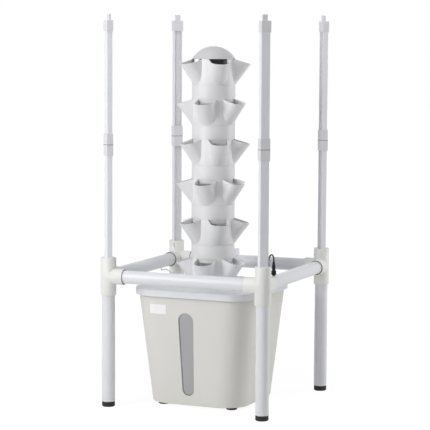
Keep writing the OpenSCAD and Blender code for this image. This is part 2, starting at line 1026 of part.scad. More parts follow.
leg(0);  // leg_front_left
leg(1);  // leg_front_right
leg(2);  // leg_back_right
leg(3);  // leg_back_left
foot_plugs();
corner_fitting(0);  // fitting_front_left
corner_fitting(1);  // fitting_front_right
corner_fitting(2);  // fitting_back_right
corner_fitting(3);  // fitting_back_left
rail(0);  // rail_front
rail(1);  // rail_right
rail(2);  // rail_back
rail(3);  // rail_left
rail_rings();
fitting_screws();
pole_bushes();
lower_channels();
lower_covers();
lower_led_boards();
lower_caps();
upper_channel(0);  // upper_channel_front_left
upper_channel(1);  // upper_channel_front_right
upper_channel(2);  // upper_channel_back_right
upper_channel(3);  // upper_channel_back_left
upper_cover(0);  // upper_cover_front_left
upper_cover(1);  // upper_cover_front_right
upper_cover(2);  // upper_cover_back_right
upper_cover(3);  // upper_cover_back_left
upper_led_board(0);  // upper_led_board_front_left
upper_led_board(1);  // upper_led_board_front_right
upper_led_board(2);  // upper_led_board_back_right
upper_led_board(3);  // upper_led_board_back_left
upper_caps(0);  // upper_caps_front_left
upper_caps(1);  // upper_caps_front_right
upper_caps(2);  // upper_caps_back_right
upper_caps(3);  // upper_caps_back_left
timer_box();
tank();
tank_window();
tank_feet();
tank_lid();
tier(1);  // tier_1
tier(2);  // tier_2
tier(3);  // tier_3
tier(4);  // tier_4
tier(5);  // tier_5
tier(6);  // tier_6
dome_cap();
riser_pipe();
water_diffuser();
pump_housing();
pump_cover();
pump_shaft();
pump_impeller();
pump_feet();
lead_gland();
light_lead();
light_lead_plug();
link_lead_grommets();
link_lead();
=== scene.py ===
# %% [markdown]
# # Dressing a hydroponic tower
# The object is a planting tower of stacked rings on a square water tank. A frame of white pipe stands
# round it and carries a light pole at each corner. The construction comes from CAD as a fixed frame, in
# metres. This lesson adds what CAD is not good at: moulded surfaces, leads, finishes, light and a camera.

# %% Load the fixed frame
import json
import math

import bmesh
import bpy
import numpy as np
from mathutils import Matrix, Vector


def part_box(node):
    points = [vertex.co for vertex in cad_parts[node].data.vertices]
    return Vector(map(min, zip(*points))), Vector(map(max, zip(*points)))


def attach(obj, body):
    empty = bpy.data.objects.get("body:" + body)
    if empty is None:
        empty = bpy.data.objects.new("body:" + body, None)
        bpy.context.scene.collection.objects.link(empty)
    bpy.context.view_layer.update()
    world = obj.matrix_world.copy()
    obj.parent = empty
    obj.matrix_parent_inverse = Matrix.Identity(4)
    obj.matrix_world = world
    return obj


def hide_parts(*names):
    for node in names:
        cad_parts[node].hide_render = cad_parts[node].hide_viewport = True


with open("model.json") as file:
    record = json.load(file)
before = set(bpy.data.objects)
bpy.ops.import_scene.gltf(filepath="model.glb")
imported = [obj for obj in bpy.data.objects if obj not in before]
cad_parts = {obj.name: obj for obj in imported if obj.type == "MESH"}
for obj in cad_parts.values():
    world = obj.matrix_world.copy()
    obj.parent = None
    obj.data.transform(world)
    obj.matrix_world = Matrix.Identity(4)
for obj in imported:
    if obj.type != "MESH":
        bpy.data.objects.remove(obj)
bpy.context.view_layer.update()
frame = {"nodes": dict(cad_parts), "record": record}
nodes = frame["nodes"]
scene = bpy.context.scene
mm = 0.001

# %% [markdown]
# ## The camera
# The picture is taken from a little right of the front, from far away and from the height of the light
# poles' tops. The place was found by matching the corners of the pipe frame. A long lens gives the flat
# perspective of a product picture. The camera's three axes are written as vectors, because then the
# turn, the tilt and the small roll can each be read from one line.

# %% Place the camera
camera_turn = math.radians(22.98)
camera_aim = math.radians(23.063)
camera_pitch = math.radians(-5.87)
camera_roll = math.radians(0.30)
camera_distance = 5.6625
camera_height = 1.1518
picture_width_px = 430
focal_length_px = 1853.7

ahead = np.array([
    -math.sin(camera_aim) * math.cos(camera_pitch),
    math.cos(camera_aim) * math.cos(camera_pitch),
    math.sin(camera_pitch),
])
level = np.array([math.cos(camera_aim), math.sin(camera_aim), 0.0])
upright = np.cross(level, ahead)
camera_right = math.cos(camera_roll) * level + math.sin(camera_roll) * upright
camera_up = math.cos(camera_roll) * upright - math.sin(camera_roll) * level
camera_place = np.array([
    math.sin(camera_turn) * camera_distance,
    -math.cos(camera_turn) * camera_distance,
    camera_height,
])
camera = bpy.data.objects.new("camera", bpy.data.cameras.new("camera"))
scene.collection.objects.link(camera)
camera.data.lens = camera.data.sensor_width * focal_length_px / picture_width_px
camera.data.clip_end = 60.0
camera_matrix = np.eye(4)
camera_matrix[:3] = np.column_stack([camera_right, camera_up, -ahead, camera_place])
camera.matrix_world = Matrix(camera_matrix.tolist())
scene.camera = camera
print("camera:", round(camera.data.lens, 1), "mm lens at", camera_place.round(3))

# %% [markdown]
# ## Two short leads
# A black lead rises out of the front right fitting, arches over and ends in a barrel connector above the
# rail. A thin grey lead dips out of the left rail and goes into the back left fitting. Both are short and
# springy and keep their shape, so no simulation is needed: a smooth curve through listed points is the
# lead's centreline, and a bevel makes it round. The points repeat the route of the construction.


# %% A smooth curve through a route's points
def smooth_path(points, steps=8):
    """Catmull-Rom curve: between two points it is the cubic whose slope at each of them is half the
    chord between that point's neighbours."""
    padded = np.vstack([2 * points[0] - points[1], points, 2 * points[-1] - points[-2]])
    before, start, end, after = (padded[i:len(padded) - 3 + i, None, :] for i in range(4))
    t = np.linspace(0, 1, steps, endpoint=False)[None, :, None]
    path = 0.5 * (
        2 * start
        + (end - before) * t
        + (2 * before - 5 * start + 4 * end - after) * t**2
        + (3 * start - before - 3 * end + after) * t**3
    )
    return np.vstack([path.reshape(-1, 3), points[-1]])


def path_length(path):
    """Sum of the distances between neighbouring points."""
    return float(np.linalg.norm(np.diff(path, axis=0), axis=1).sum())


def lead_curve(name, path, diameter):
    """A round lead: one open spline along the path, whose points carry the lead's radius. The bevel is
    one unit deep, so that the radius alone sets the size, in the shape and in its bounding box."""
    curve = bpy.data.curves.new(name, "CURVE")
    curve.dimensions = "3D"
    curve.bevel_depth = 1.0
    curve.bevel_resolution = 5
    curve.use_fill_caps = True
    spline = curve.splines.new("POLY")
    spline.points.add(len(path) - 1)
    spline.points.foreach_set("co", np.column_stack([path, np.ones(len(path))]).ravel())
    spline.points.foreach_set("radius", np.full(len(path), diameter / 2))
    spline.use_smooth = True
    piece = bpy.data.objects.new(name, curve)
    scene.collection.objects.link(piece)
    return piece


def middle(node):
    """Centre of a node's box."""
    low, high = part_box(node)
    return np.array((low + high) / 2)


print("rules for leads ready")

# %% Lay both leads
light_route = mm * np.array([
    [0, 0, 6.5], [0, 0, 11.5], [-0.3, 1.4, 17], [-0.8, 4.5, 21.5],
    [-1.5, 9.5, 25.5], [-2.3, 16, 28.3], [-3.3, 23, 29.9], [-4.3, 30, 30.5],
    [-5.3, 37, 30.5], [-6.4, 44, 29.7], [-7.4, 50.5, 27.9], [-8.4, 57, 24.9],
    [-9.3, 62.5, 21.1], [-9.9, 66.5, 16.5], [-10, 68, 12], [-10, 68, 7.5],
])
link_route = mm * np.array([
    [0, -120, -1.5], [0, -120, -2.8], [0, -119.2, -5.5], [0, -117, -7.5],
    [0, -114, -8.2], [0, -107, -8.2], [0, -100, -8.3], [0, -93, -8.7],
    [0, -86, -9.5], [0, -79, -10.8], [0, -72, -12.7], [0, -65, -15.3],
    [0, -58, -18.6], [0, -51, -22.4], [0, -44, -26.1], [0, -38, -28.9],
    [0, -33, -30], [0, -28, -30],
])
light_lead_diameter = 4.4 * mm
link_lead_diameter = 3 * mm

gland_foot = middle("lead_gland")
gland_foot[2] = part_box("lead_gland")[0].z
light_path = smooth_path(gland_foot + light_route)
light_lead = lead_curve("light_lead_cord", light_path, light_lead_diameter)
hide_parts("light_lead")

link_start = middle("leg_back_left")
link_start[2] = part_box("rail_left")[0].z
link_path = smooth_path(link_start + link_route)
link_lead = lead_curve("link_lead_cord", link_path, link_lead_diameter)
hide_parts("link_lead")

for lead, slot in ((light_lead, "lead_black"), (link_lead, "lead_grey")):
    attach(lead, "frame")
print("leads:", round(path_length(light_path), 4), "and", round(path_length(link_path), 4), "m long")

# %% [markdown]
# ## Surfaces as grids
# Most moulded pieces here are one surface: a rule gives a point for each row and column of a grid. Numpy
# works out all the points at once, and one function turns any grid into a mesh. Rows run upwards on an
# outer face and columns run counter-clockwise seen from above, so that the faces point outwards.

# %% From a grid of points to a mesh
merge_distance = 1e-6


def grid_quads(rows, columns, close_rows, close_columns):
    """Corner numbers of the quads between neighbouring rows and columns, round to the first if closed."""
    index = np.arange(rows * columns).reshape(rows, columns)
    if close_rows:
        index = np.vstack([index, index[:1]])
    if close_columns:
        index = np.hstack([index, index[:, :1]])
    corners = (index[:-1, :-1], index[:-1, 1:], index[1:, 1:], index[1:, :-1])
    return np.stack(corners, axis=-1).reshape(-1, 4)


def mesh_piece(name, points, faces, crease=35):
    """A smooth-shaded object from points and faces, with doubles merged and edges sharp past an angle."""
    mesh = bpy.data.meshes.new(name)
    mesh.from_pydata(points.reshape(-1, 3).tolist(), [], faces.tolist())
    work = bmesh.new()
    work.from_mesh(mesh)
    bmesh.ops.remove_doubles(work, verts=work.verts, dist=merge_distance)
    work.to_mesh(mesh)
    work.free()
    mesh.shade_smooth()
    mesh.set_sharp_from_angle(angle=math.radians(crease))
    piece = bpy.data.objects.new(name, mesh)
    scene.collection.objects.link(piece)
    return piece


def grid_piece(name, *grids, close_rows=False, close_columns=True, crease=35):
    """A piece over one or more grids of points, each of shape (rows, columns, 3)."""
    points, quads, count = [], [], 0
    for grid in grids:
        points.append(grid.reshape(-1, 3))
        quads.append(grid_quads(*grid.shape[:2], close_rows, close_columns) + count)
        count += grid.size // 3
    return mesh_piece(name, np.vstack(points), np.vstack(quads), crease)


def settle(piece, body, slot, *stands_for):
    """Ties a piece to its body and hides the nodes that it stands for; the finish slot is not used."""
    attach(piece, body)
    if stands_for:
        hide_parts(*stands_for)
    return piece


def arc(centre_r, centre_z, radius, start, end, steps):
    """Points of a circular arc in the plane of radius and height, between two angles in degrees."""
    a = np.radians(np.linspace(start, end, steps))
    return np.column_stack([centre_r + radius * np.cos(a), centre_z + radius * np.sin(a)])


def revolve(profile, x, y, columns=128):
    """Surface of revolution: each profile point (r, z) goes round the upright axis at (x, y)."""
    a = np.linspace(0, 2 * np.pi, columns, endpoint=False)
    r, z = profile[:, :1], profile[:, 1:]
    return np.stack([x + r * np.sin(a), y - r * np.cos(a), z + 0 * a], axis=-1)


print("points closer than", merge_distance, "m are merged")

# %% [markdown]
# ## The planting tiers
# Each tier is one thin moulding: a tube whose upper part swells into five pockets. A pocket's section is
# a U that slides out of the tube from the seam upwards, and its rim falls towards the tip. Modelling that
# by pushing faces about would be slow and uneven. As a rule it is short: at each angle and height the
# wall stands at the larger of the tube's radius and the pocket's reach, with the corner between them
# filled as a mould maker would round it. Closing the grid over the rim gives the wall its thickness.

# %% Sizes of a tier
dome_low, dome_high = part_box("dome_cap")
axis_x, axis_y = middle("dome_cap")[:2]
tube_r = 66 * mm
wall = 2.5 * mm
ring_h = 77 * mm
band_h = 44 * mm
spigot_h = 12 * mm
spigot_slip = 0.8 * mm
seam_step = 0.7 * mm
spigot_r = tube_r - wall - spigot_slip
pocket_reach = tube_r + 47 * mm
pocket_half = 30 * mm
pocket_foot = 28 * mm
pocket_fall = 15 * mm
ring_r = tube_r + seam_step
bore_r = tube_r - wall
tip_z = ring_h - pocket_fall
tip_wall = 1.25 * wall
pocket_count = 5
half_turn = 180 / pocket_count
even_turn = 3.5
print("tower axis at", round(axis_x, 4), round(axis_y, 4), "and pockets reach", pocket_reach)

# %% The rule of a pocketed wall
outer_fillet = 1.8 * mm
inner_fillet = 2 * mm
fillet_rise = 14 * mm
least_fillet = 0.01
least_angle = 1e-6
rim_passes = 8


def soft_max(a, b, reach):
    """The larger of two distances, with the corner where they cross filled by a curve over that reach."""
    share = np.clip(0.5 + 0.5 * (a - b) / reach, 0, 1)
    return b + (a - b) * share + reach * share * (1 - share)


def pocket_width(z):
    """Half width of a pocket, which grows evenly from the seam to the mouth."""
    return pocket_foot + (pocket_half - pocket_foot) * z / ring_h


def pocket_tip(z):
    """Distance from the axis to a pocket's tip, which leans out evenly from the seam."""
    return ring_r + (pocket_reach - ring_r) * z / tip_z


def pocket_distance(angle, width, centre):
    """Distance from the axis to a U-shaped section: straight sides, width / sin, up to the centre of its
    round nose, and from there the far side of that circle."""
    angle = np.maximum(np.abs(angle), least_angle)
    side = width / np.sin(angle)
    nose = centre * np.cos(angle) + np.sqrt(np.maximum(0, width**2 - (centre * np.sin(angle))**2))
    return np.where(width / np.tan(angle) <= centre, side, nose)


def fillet_at(z, full):
    """Reach of a fillet at a height, which grows from next to nothing at the seam."""
    return full * np.clip(z / fillet_rise, least_fillet, 1)


def outer_wall(angle, z):
    """Radius of the outer face: tube or pocket, with a fillet between them."""
    pocket = pocket_distance(angle, pocket_width(z), pocket_tip(z) - pocket_width(z))
    return soft_max(pocket, ring_r, fillet_at(z, outer_fillet))


def inner_wall(angle, z):
    """Radius of the inner face, one wall inside the outer one."""
    width = pocket_width(z) - wall
    pocket = pocket_distance(angle, width, pocket_tip(z) - tip_wall - width)
    return soft_max(pocket, bore_r, fillet_at(z, inner_fillet))


def rim_height(angle):
    """Height of the rim, which falls in step with the wall's distance from the tube. That distance
    depends on the height in turn, so a few passes settle both."""
    z = np.full_like(angle, ring_h)
    for _ in range(rim_passes):
        z = ring_h - pocket_fall * (outer_wall(angle, z) - ring_r) / (pocket_reach - ring_r)
    return z


print("rim at a pocket's tip and beside it:", rim_height(np.array([0, np.radians(half_turn)])).round(4))

# %% Columns that gather where the wall turns
pocket_columns = 18
gap_columns = 8
least_root = 12
gather = 1.5


def pocket_root(z):
    """Angle at which a pocket leaves the tube: where its round nose crosses the tube, and higher up where
    its straight side does."""
    width = pocket_width(z)
    centre = pocket_tip(z) - width
    side = math.asin(width / ring_r)
    nose = (centre**2 + ring_r**2 - width**2) / (2 * centre * ring_r)
    return math.degrees(math.acos(min(1.0, nose)) if ring_r * math.cos(side) > centre else side)


def column_angles(z):
    """Angles of one pocket's columns at a height: close together at the pocket's root, where the wall
    turns, and wider in the middle of the pocket and of the gap beside it."""
    root = max(least_root, pocket_root(z))
    inside = root * np.sin(np.pi / 2 * np.arange(pocket_columns + 1) / pocket_columns)
    beside = root + (half_turn - root) * (np.arange(1, gap_columns + 1) / gap_columns)**gather
    half = np.concatenate([inside, beside])
    return np.radians(np.concatenate([-half[:0:-1], half[:-1]]))


def ring_of(angles, radius, z, turn):
    """One closed row: the pocket's columns repeated round the axis."""
    every = np.concatenate([angles + k * 2 * np.pi / pocket_count for k in range(pocket_count)])
    every = every + np.radians(turn)
    radius, z = (np.tile(np.broadcast_to(v, angles.shape), pocket_count) for v in (radius, z))
    return np.column_stack([axis_x + radius * np.sin(every), axis_y - radius * np.cos(every), z])


print("columns round a tier:", 2 * pocket_count * (pocket_columns + gap_columns))

# %% Mould the six tiers
rim_round = 1.1 * mm
rim_lifts = np.radians([30, 60, 90, 120, 150])
groove_h = 1.8 * mm
groove_r = tube_r - 1.5 * mm
groove_edge = 0.2 * mm
band_edge = 0.4 * mm
lowest_row = 0.4 * mm
spigot_in = 0.5 * mm
spigot_up = 1 * mm
spigot_bore = spigot_r - wall
outer_shares = np.linspace(0, 1, 30)[1:]**gather
inner_shares = np.linspace(1, 0, 20)**gather


def tier_rows(seam, turn):
    """All rows of a tier, round its wall: up the outside, over the rim and down the inside."""
    plain = column_angles(0)
    outside = [
        (spigot_r - spigot_in, -band_h - spigot_h), (spigot_r, spigot_up - band_h - spigot_h),
        (spigot_r, -band_h), (tube_r - band_edge, -band_h), (tube_r, band_edge - band_h),
        (tube_r, -groove_h), (groove_r, groove_edge - groove_h), (groove_r, 0),
        (ring_r - groove_edge, 0), (ring_r, groove_edge),
    ]
    rows = [ring_of(plain, r, seam + z, turn) for r, z in outside]
    for share in outer_shares:
        a = column_angles(share * ring_h)
        z = np.maximum(share * (rim_height(a) - rim_round), lowest_row)
        rows.append(ring_of(a, outer_wall(a, z), seam + z, turn))
    a = column_angles(ring_h)
    z = rim_height(a) - rim_round
    outer, inner = outer_wall(a, z), inner_wall(a, z)
    for lift in rim_lifts:
        r = (outer + inner) / 2 + (outer - inner) / 2 * np.cos(lift)
        rows.append(ring_of(a, r, seam + z + rim_round * np.sin(lift), turn))
    for share in inner_shares:
        a = column_angles(share * ring_h)
        z = share * (rim_height(a) - rim_round)
        rows.append(ring_of(a, inner_wall(a, z), seam + z, turn))
    inside = [(bore_r, wall - band_h), (spigot_bore, wall - band_h), (spigot_bore, -band_h - spigot_h)]
    rows += [ring_of(plain, r, seam + z, turn) for r, z in inside]
    return np.array(rows)


tiers = []
for number in range(1, 7):
    node = f"tier_{number}"
    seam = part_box(node)[1].z - ring_h
    points = tier_rows(seam, half_turn if number % 2 else even_turn)
    tiers.append(settle(grid_piece(f"planting_{node}", points, close_rows=True), node, "tower", node))
print("tiers:", len(tiers), "of", len(tiers[0].data.polygons), "faces each")

# %% [markdown]
# ## The dome cap
# The cap is a shallow bowl turned upside down. It stands on the top tier's rim between the pockets and is
# held there by five lugs, so that each pocket under it stays open to the dark inside. The bowl is turned
# from one profile, whose lower edge has a small radius that catches the light. A lug is a rounded
# rectangle carried along a short arc and closed at both ends.

# %% Turn the dome
dome_edge = 1.2 * mm
dome_z = dome_low.z + spigot_h
dome_h = dome_high.z - dome_z
ball_r = (tube_r**2 + dome_h**2) / (2 * dome_h)
ball_z = dome_z + dome_h - ball_r
rim_angle = math.degrees(math.asin((dome_z + 2 * dome_edge - ball_z) / ball_r))
inner_angle = math.degrees(math.asin((dome_z + wall - ball_z) / (ball_r - wall)))
bowl_profile = np.vstack([
    arc(0, ball_z, ball_r - wall, 90, inner_angle, 20),
    arc(tube_r - dome_edge, dome_z + dome_edge, dome_edge, -90, 25, 7),
    arc(0, ball_z, ball_r, rim_angle, 90, 40),
])


def lug(turn, half_angle, steps=12):
    """A rounded rectangle between two radii and heights, carried through an arc, with its ends drawn
    together to the middle of the section."""
    edge = 0.5 * mm
    r_in, r_out = spigot_r - wall + edge, spigot_r - edge
    z_low, z_high = dome_low.z + edge, dome_z + wall
    section = np.vstack([
        arc(r_out, z_low, edge, -90, 0, 4), arc(r_out, z_high, edge, 0, 90, 4),
        arc(r_in, z_high, edge, 90, 180, 4), arc(r_in, z_low, edge, 180, 270, 4),
    ])
    a = np.radians(turn + np.linspace(-half_angle, half_angle, steps))
    a = np.concatenate([a[:1], a, a[-1:]])
    draw = np.ones(len(a))
    draw[[0, -1]] = 0
    r, z = (m + (v[:, None] - m) * draw for v, m in zip(section.T, section.mean(axis=0)))
    return np.stack([axis_x + r * np.sin(a), axis_y - r * np.cos(a), z], axis=-1)


lug_half = half_turn - math.degrees(math.asin(pocket_half / spigot_r))
bowl = grid_piece("tower_dome", revolve(bowl_profile, axis_x, axis_y))
settle(bowl, "dome", "tower", "dome_cap")
lug_grids = [lug(2 * half_turn * k, lug_half) for k in range(pocket_count)]
lugs = grid_piece("dome_lugs", *lug_grids, close_rows=True, close_columns=False)
settle(lugs, "dome", "tower")
print("dome:", len(bowl.data.polygons), "faces, and lugs", round(2 * lug_half, 1), "degrees wide")

# %% [markdown]
# ## The tank
# The tank is a drafted square tub with large round corners, a small lower edge and a tall slot for the
# level window. Its outline at any height is a square of a smaller size with a round added all about it,
# so each column is a place on that square and a direction of the round. The slot cuts the flat front
# wall. A block of quads is left out there, and a ring of quads joins the block's edge to the slot's
# outline, which keeps the wall clean where a boolean would leave slivers. Solidify adds the wall inwards.

# %% Outline of a rounded square
corner_steps = 14
straight_steps = 12


def outline_columns(front):
    """Columns of a rounded square: place on the inner square, and direction of the round, side by side.
    The front side's places are given, because the window's slot has to fall between them."""
    sides = [front] + [np.linspace(-1, 1, straight_steps)] * 3
    place, way = [], []
    for k, along in enumerate(sides):
        a = np.radians(90 * k)
        turn = np.array([[np.cos(a), np.sin(a)], [-np.sin(a), np.cos(a)]])
        edge = np.column_stack([along, -np.ones(len(along))])
        corner = np.ones((corner_steps, 2)) * (1, -1)
        sweep = np.radians(np.linspace(-90, 0, corner_steps + 2)[1:-1])
        place.append(np.vstack([edge, corner]) @ turn)
        straight_way = np.ones((len(along), 2)) * (0, -1)
        way.append(np.vstack([straight_way, np.column_stack([np.cos(sweep), np.sin(sweep)])]) @ turn)
    return np.vstack(place), np.vstack(way)


def outline(columns, half, corner, z):
    """Points of a rounded square at height z: inner square times its half size, plus the round."""
    place, way = columns
    flat = (half - corner) * place + corner * way
    return np.column_stack([axis_x + flat[:, 0], axis_y + flat[:, 1], np.full(len(flat), z)])


print("columns on a side and its corner:", straight_steps + corner_steps)

# %% Sizes of the tank
tank_low, tank_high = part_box("tank")
tank_top_half = (tank_high.x - tank_low.x) / 2
tank_foot_half = 311 * mm / 2
tank_corner = 76 * mm
tank_wall = 3 * mm
tank_edge = 3 * mm


def tank_half(z):
    """Half side of the tank at a height, which grows evenly from its floor to its rim."""
    rise = tank_top_half - tank_foot_half
    return tank_foot_half + rise * (z - tank_low.z) / (tank_high.z - tank_low.z)


def tank_outline(columns, z, inset=0.0):
    """The tank's outline at a height, some inset from its outer face."""
    return outline(columns, tank_half(z) - inset, tank_corner - inset, z)


print("tank sides:", round(2 * tank_foot_half, 3), "to", round(2 * tank_top_half, 3), "m")

# %% The window's slot, as a loop in step with the block of quads round it
window_low, window_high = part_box("tank_window")
slip = 0.15 * mm
window_x = (window_low.x + window_high.x) / 2
window_top_r = (window_high.x - window_low.x) / 2 + slip
window_foot_r = 37 * mm / 2
top_centre = np.array([window_x, window_high.z + slip - window_top_r])
foot_centre = np.array([window_x, window_low.z - slip + window_foot_r])
block_across = 16
block_up = 24


def window_loop(gap):
    """Two round ends joined by their common tangents: up the right side, over the top, down the left."""
    span = top_centre[1] - foot_centre[1]
    lean = math.degrees(math.asin((window_top_r - window_foot_r) / span))
    foot = arc(*foot_centre, window_foot_r - gap, 180 + lean, 360 - lean, block_across + 1)
    top = arc(*top_centre, window_top_r - gap, -lean, 180 + lean, block_across + 1)
    t = np.linspace(0, 1, block_up + 1)[1:-1, None]
    right = foot[-1] + (top[0] - foot[-1]) * t
    left = top[-1] + (foot[0] - top[-1]) * t
    return np.vstack([foot, right, top, left])


def window_spine():
    """The line between the two round centres, walked in step with the loop."""
    t = np.linspace(0, 1, block_up + 1)[1:-1, None]
    ends = np.ones((block_across + 1, 2))
    up = foot_centre + (top_centre - foot_centre) * t
    return np.vstack([ends * foot_centre, up, ends * top_centre, up[::-1]])


def on_front(flat, depth):
    """Points (x, z) set on the tank's sloping front wall, some depth behind its face. Past the flat part
    the wall turns away along the corner's circle."""
    half = tank_half(flat[:, 1])
    past = np.maximum(0, np.abs(flat[:, 0] - axis_x) - (half - tank_corner))
    away = tank_corner - np.sqrt(tank_corner**2 - past**2)
    return np.column_stack([flat[:, 0], axis_y - half + away + depth, flat[:, 1]])


print("points round the slot:", len(window_loop(0)))

# %% Mould the tank
block_start = -0.5
block_end = 0.24
block_left = 8
block_right = block_left + block_across
block_margin = 10 * mm
above_window = 26 * mm
below_rim = 12 * mm
floor_shares = (0, 0.3, 0.6, 0.85)
collar_shares = (0, 0.35, 0.7, 0.92, 1)
front_places = np.concatenate([
    np.linspace(-1, block_start, block_left + 1),
    np.linspace(block_start, block_end, block_across + 1)[1:],
    np.linspace(block_end, 1, 11)[1:],
])
tank_columns = outline_columns(front_places)
block_z = np.linspace(window_low.z - block_margin, window_high.z + block_margin, block_up + 1)
edge_turn = np.radians(np.linspace(0, 90, 8))
edge_rows = [
    tank_outline(tank_columns, tank_low.z + tank_edge * (1 - math.sin(t)), tank_edge * (1 - math.cos(t)))
    for t in edge_turn[::-1]
]
floor_rows = [
    edge_rows[0] * (share, share, 1) + np.array([axis_x, axis_y, 0]) * (1 - share)
    for share in floor_shares
]
wall_z = [*block_z, window_high.z + above_window, tank_high.z - below_rim, tank_high.z]
tank_points = np.array(floor_rows + edge_rows + [tank_outline(tank_columns, z) for z in wall_z])
first_block_row = len(floor_rows) + len(edge_rows)
tank_count = tank_points.shape[1]
tank_quads = grid_quads(*tank_points.shape[:2], False, True)
quad_row, quad_column = np.divmod(np.arange(len(tank_quads)), tank_count)
in_block = (
    (quad_row >= first_block_row) & (quad_row < first_block_row + block_up)
    & (quad_column >= block_left) & (quad_column < block_right)
)

index = np.arange(tank_points.shape[0] * tank_count).reshape(-1, tank_count)
block = index[first_block_row:first_block_row + block_up + 1, block_left:block_right + 1]
block_loop = np.concatenate([block[0], block[1:-1, -1], block[-1, ::-1], block[-2:0:-1, 0]])
block_edge = tank_points.reshape(-1, 3)[block_loop]
slot_edge = on_front(window_loop(0), 0)
collar_rows = np.array([block_edge + (slot_edge - block_edge) * t for t in collar_shares])
collar_quads = grid_quads(*collar_rows.shape[:2], False, True) + tank_points.size // 3
tank = mesh_piece(
    "water_tank",
    np.vstack([tank_points.reshape(-1, 3), collar_rows.reshape(-1, 3)]),
    np.vstack([tank_quads[~in_block], collar_quads]),
)
tank_shell = tank.modifiers.new("wall", "SOLIDIFY")
tank_shell.thickness = tank_wall
tank_shell.offset = -1
settle(tank, "frame", "tank", "tank")
print("tank:", len(tank.data.polygons), "faces before its wall is added")

# %% [markdown]
# ## The level window and the blank plate
# The window is a smoky insert that sits a little behind the wall, with a soft edge of its own. Its rows
# are loops that shrink from the slot's outline to the line between the two round ends. A small bare
# plate is stuck on the wall to the upper left of it.

# %% Make the window
window_depth = 1 * mm
window_border = 3 * mm
window_fall = 0.8 * mm
window_t = 2 * mm
window_shares = (0, 0.03, 0.07, 0.12, 0.3, 0.6, 1.0)
loop, spine = window_loop(slip), window_spine()
window_rows = []
for share in window_shares:
    flat = loop + (spine - loop) * share
    inward = np.clip(share * window_foot_r / window_border, 0, 1)
    sink = window_depth + window_fall * (1 - math.sqrt(1 - (1 - inward)**2))
    window_rows.append(on_front(flat, sink))
window = grid_piece("level_window", np.array(window_rows), crease=60)
window_shell = window.modifiers.new("thickness", "SOLIDIFY")
window_shell.thickness = window_t
window_shell.offset = -1
settle(window, "frame", "window", "tank_window")
print("window:", len(window.data.polygons), "faces")

# %% Stick on the blank plate
plate_centre = np.array([axis_x - 100.5 * mm, 301 * mm])
plate_size = np.array([54, 29]) * mm
plate_corner = 2 * mm
least_corner = 0.1 * mm
plate_t = 0.5 * mm
glue = 0.02 * mm
inset_and_lift = ((0, 0), (0, 0.6), (0.1, 0.9), (0.3, 1), (1.0, 1), (8, 1), (14.4, 1))
plate_columns = outline_columns(np.linspace(-1, 1, straight_steps))
plate_rows = []
for inset, lift in inset_and_lift:
    half = plate_size / 2 - inset * mm
    corner = max(plate_corner - inset * mm, least_corner)
    flat = plate_centre + (half - corner) * plate_columns[0] + corner * plate_columns[1]
    plate_rows.append(on_front(flat, -plate_t * lift - glue))
plate = grid_piece("blank_plate", np.array(plate_rows))
settle(plate, "frame", "lid")
print("plate:", len(plate.data.polygons), "faces")

# %% [markdown]
# ## The lid
# The lid is a flat white moulding with a skirt over the tank's rim and a round socket for the tower. Its
# outline is square and its socket is round, so the rows change over from one to the other: each column
# keeps its direction from the axis, and the top face runs straight between them. One closed grid goes
# round the whole wall, from the skirt over the top, down into the socket and back below.

# %% Mould the lid
lid_low, lid_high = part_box("tank_lid")
lid_half = (lid_high.x - lid_low.x) / 2
lid_t = 3 * mm
collar_h = 5 * mm
skirt_h = 20 * mm
lid_top = lid_high.z - collar_h
lid_corner = tank_corner + 4 * mm
lid_edge = 2 * mm
small_edge = 0.6 * mm
socket_slip = 0.6 * mm
socket_bore = tube_r + socket_slip
lip_bore = spigot_r + socket_slip
sleeve_r = socket_bore + lid_t
lip_z = lid_low.z + lid_t
lid_columns = outline_columns(np.linspace(-1, 1, straight_steps))


def lid_square(inset, z):
    """A row on the lid's square part, some inset from its outer face."""
    return outline(lid_columns, lid_half - inset, lid_corner - inset, z)


def lid_round(r, z):
    """A row on the lid's round part, in the same directions from the axis as the square's columns."""
    flat = lid_square(0, 0)[:, :2] - (axis_x, axis_y)
    flat = r * flat / np.linalg.norm(flat, axis=1, keepdims=True)
    return np.column_stack([axis_x + flat[:, 0], axis_y + flat[:, 1], np.full(len(flat), z)])


skirt_z = lid_top - skirt_h
lid_rows = [
    lid_square(lid_t, skirt_z), lid_square(small_edge, skirt_z), lid_square(0, skirt_z + small_edge),
]
for t in np.radians(np.linspace(0, 90, 8)):
    lid_rows.append(lid_square(lid_edge * (1 - math.cos(t)), lid_top - lid_edge * (1 - math.sin(t))))
collar_r = sleeve_r + collar_h
collar_foot = lid_round(collar_r + 3 * mm, lid_top)
lid_rows += [lid_rows[-1] + (collar_foot - lid_rows[-1]) * t for t in (0.2, 0.4, 0.6, 0.8, 1)]
collar_profile = [
    (collar_r + 1 * mm, lid_top + 0.3 * mm), (collar_r - 0.6 * mm, lid_top + 1.2 * mm),
    (sleeve_r + small_edge, lid_high.z - small_edge), (sleeve_r - 0.2 * mm, lid_high.z),
    (socket_bore + small_edge, lid_high.z), (socket_bore, lid_high.z - small_edge), (socket_bore, lip_z),
    (lip_bore, lip_z), (lip_bore, lid_low.z), (sleeve_r, lid_low.z), (sleeve_r, lid_top - lid_t),
]
lid_rows += [lid_round(r, z) for r, z in collar_profile]
under_edge = lid_square(lid_t, lid_top - lid_t)
lid_rows += [lid_rows[-1] + (under_edge - lid_rows[-1]) * t for t in (0.3, 0.6, 1)]
lid = grid_piece("lid_moulding", np.array(lid_rows), close_rows=True)
settle(lid, "lid", "lid", "tank_lid")
print("lid:", len(lid.data.polygons), "faces")

# %% [markdown]
# ## The barrel connector
# The black lead ends in a moulded connector: a nose, a grooved collar to grip, a body, and a ribbed taper
# that keeps the lead from kinking. It is round, so one profile is turned about the lead's end.

